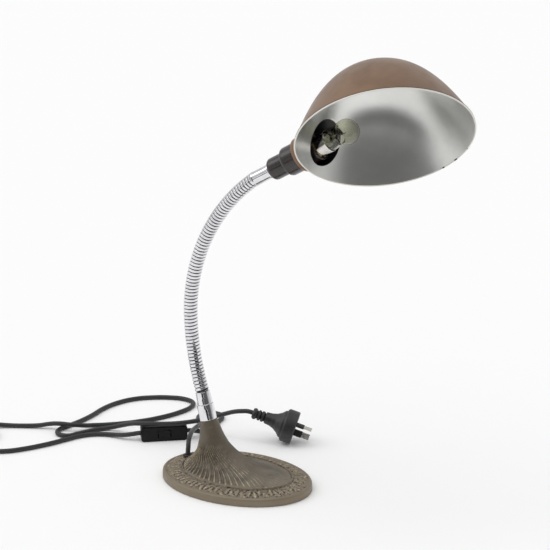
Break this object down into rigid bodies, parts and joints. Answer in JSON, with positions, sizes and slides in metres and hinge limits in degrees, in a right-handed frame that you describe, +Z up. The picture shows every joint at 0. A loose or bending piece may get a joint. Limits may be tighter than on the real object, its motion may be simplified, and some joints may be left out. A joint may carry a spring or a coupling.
{
  "type": "gooseneck desk lamp",
  "caption": "Desk lamp with a fluted oval cast base, a jointed metal gooseneck, a turning domed metal shade over a bayonet bulb, an inline switch and a mains plug.",
  "frame": {"origin": "middle of the oval base's underside, on the table", "axes": "+X from the column towards the head, along the base's length, with the neck's plane turned 5 degrees towards +Y; +Z up; +Y to the side away from the shade's opening"},
  "size_m": [0.5896, 0.258, 0.4541],
  "materials": {
    "cast_metal": "aged bronze-brown cast finish with darker hollows",
    "felt": "felt pad",
    "rubber": "matt black",
    "brass": "turned",
    "steel": "plated",
    "chrome": "polished",
    "bakelite": "polished dark brown moulding",
    "ceramic": "glazed",
    "shade_paint": "satin bronze-brown outside, pale grey inside",
    "bulb_brass": "bright",
    "black_glass": "black insulating glass",
    "solder": "solder",
    "clear_glass": "clear",
    "tungsten": "drawn wire",
    "switch_black": "satin black",
    "plug_grey": "dark grey moulding",
    "pin_metal": "plated brass",
    "flex": "dark grey sheath"
  },
  "bodies": {
    "base": {"base_casting": "cast_metal", "base_felt": "felt", "cord_grommet": "rubber", "stem_nipple": "brass", "stem_washer": "steel", "stem_nut": "brass", "ferrule_collar": "chrome", "ferrule_sleeve": "chrome", "switch_shell_front": "switch_black", "switch_shell_back": "switch_black", "switch_screws": "steel", "switch_contacts": "brass", "plug_body": "plug_grey", "plug_strain_relief": "plug_grey", "plug_pins": "pin_metal", "plug_pin_sleeves": "rubber", "lead_cord": "flex", "mid_cord": "flex", "cord_coil": "flex", "coil_tie": "rubber", "long_cord": "flex"},
    "rocker": {"switch_rocker": "switch_black"},
    "neck_01": {"neck_segment_01": "chrome"},
    "neck_02": {"neck_segment_02": "chrome"},
    "neck_03": {"neck_segment_03": "chrome"},
    "neck_04": {"neck_segment_04": "chrome"},
    "neck_05": {"neck_segment_05": "chrome"},
    "neck_06": {"neck_segment_06": "chrome"},
    "neck_07": {"neck_segment_07": "chrome"},
    "neck_08": {"neck_segment_08": "chrome"},
    "neck_09": {"neck_segment_09": "chrome"},
    "neck_10": {"neck_segment_10": "chrome"},
    "neck_11": {"neck_segment_11": "chrome"},
    "neck_12": {"neck_segment_12": "chrome"},
    "neck_13": {"neck_segment_13": "chrome"},
    "neck_14": {"neck_segment_14": "chrome"},
    "lampholder": {"upper_ferrule": "chrome", "ferrule_flange": "chrome", "holder_cap": "bakelite", "holder_body": "bakelite", "holder_insert": "ceramic", "plunger_springs": "steel", "bayonet_sleeve": "brass", "shade_ring": "bakelite"},
    "shade": {"shade": "shade_paint"},
    "bulb": {"contact_plungers": "brass", "bulb_insulator": "black_glass", "bulb_contacts": "solder", "bulb_cap": "bulb_brass", "bulb_pins": "bulb_brass", "bulb_glass": "clear_glass", "bulb_stem": "clear_glass", "bulb_filament": "tungsten"}
  },
  "joints": [
    {"name": "neck_bend", "type": "hinge", "parent": "base", "child": "neck_01", "pos_m": [-0.04204, 0, 0.09124], "axis": [-0.0872, 0.9962, 0], "range_deg": [-7, 7]},
    {"name": "neck_swing", "type": "hinge", "parent": "neck_01", "child": "neck_02", "pos_m": [-0.04691, -0.00043, 0.10871], "axis": [-0.9677, -0.0847, -0.2373], "range_deg": [-6, 6]},
    {"name": "neck_bend_2", "type": "hinge", "parent": "neck_02", "child": "neck_03", "pos_m": [-0.05061, -0.00075, 0.12647], "axis": [-0.0872, 0.9962, 0], "range_deg": [-7, 7]},
    {"name": "neck_swing_2", "type": "hinge", "parent": "neck_03", "child": "neck_04", "pos_m": [-0.05315, -0.00097, 0.14443], "axis": [-0.9904, -0.0866, -0.1076], "range_deg": [-6, 6]},
    {"name": "neck_bend_3", "type": "hinge", "parent": "neck_04", "child": "neck_05", "pos_m": [-0.0545, -0.00109, 0.16252], "axis": [-0.0872, 0.9962, 0], "range_deg": [-7, 7]},
    {"name": "neck_swing_3", "type": "hinge", "parent": "neck_05", "child": "neck_06", "pos_m": [-0.05466, -0.0011, 0.18066], "axis": [-0.9954, -0.0871, 0.0408], "range_deg": [-6, 6]},
    {"name": "neck_bend_4", "type": "hinge", "parent": "neck_06", "child": "neck_07", "pos_m": [-0.05303, -0.00096, 0.19873], "axis": [-0.0872, 0.9962, 0], "range_deg": [-7, 7]},
    {"name": "neck_swing_4", "type": "hinge", "parent": "neck_07", "child": "neck_08", "pos_m": [-0.04963, -0.00066, 0.21655], "axis": [-0.9679, -0.0847, 0.2367], "range_deg": [-6, 6]},
    {"name": "neck_bend_5", "type": "hinge", "parent": "neck_08", "child": "neck_09", "pos_m": [-0.04449, -0.00021, 0.23394], "axis": [-0.0872, 0.9962, 0], "range_deg": [-7, 7]},
    {"name": "neck_swing_5", "type": "hinge", "parent": "neck_09", "child": "neck_10", "pos_m": [-0.03765, 0.00038, 0.25074], "axis": [-0.9025, -0.079, 0.4234], "range_deg": [-6, 6]},
    {"name": "neck_bend_6", "type": "hinge", "parent": "neck_10", "child": "neck_11", "pos_m": [-0.0292, 0.00112, 0.26677], "axis": [-0.0872, 0.9962, 0], "range_deg": [-7, 7]},
    {"name": "neck_swing_6", "type": "hinge", "parent": "neck_11", "child": "neck_12", "pos_m": [-0.01921, 0.002, 0.28189], "axis": [-0.8018, -0.0701, 0.5935], "range_deg": [-6, 6]},
    {"name": "neck_bend_7", "type": "hinge", "parent": "neck_12", "child": "neck_13", "pos_m": [-0.00777, 0.003, 0.29594], "axis": [-0.0872, 0.9962, 0], "range_deg": [-7, 7]},
    {"name": "neck_swing_7", "type": "hinge", "parent": "neck_13", "child": "neck_14", "pos_m": [0.00499, 0.00411, 0.30879], "axis": [-0.6696, -0.0586, 0.7404], "range_deg": [-6, 6]},
    {"name": "neck_bend_8", "type": "hinge", "parent": "neck_14", "child": "lampholder", "pos_m": [0.01896, 0.00534, 0.3203], "axis": [-0.0872, 0.9962, 0], "range_deg": [-7, 7]},
    {"name": "shade_turn", "type": "hinge", "parent": "lampholder", "child": "shade", "pos_m": [0.07029, 0.00983, 0.35005], "axis": [0.8627, 0.0755, 0.5], "range_deg": [-120, 120]},
    {"name": "bulb_push", "type": "slide", "parent": "lampholder", "child": "bulb", "axis": [-0.8627, -0.0755, -0.5], "range_m": [0, 0.0025], "stiffness_N_per_m": 1500, "springref_m": -0.004},
    {"name": "switch_rock", "type": "hinge", "parent": "base", "child": "rocker", "pos_m": [-0.12938, 0.05237, 0.00845], "axis": [0, 0, 1], "range_deg": [0, 12]}
  ]
}
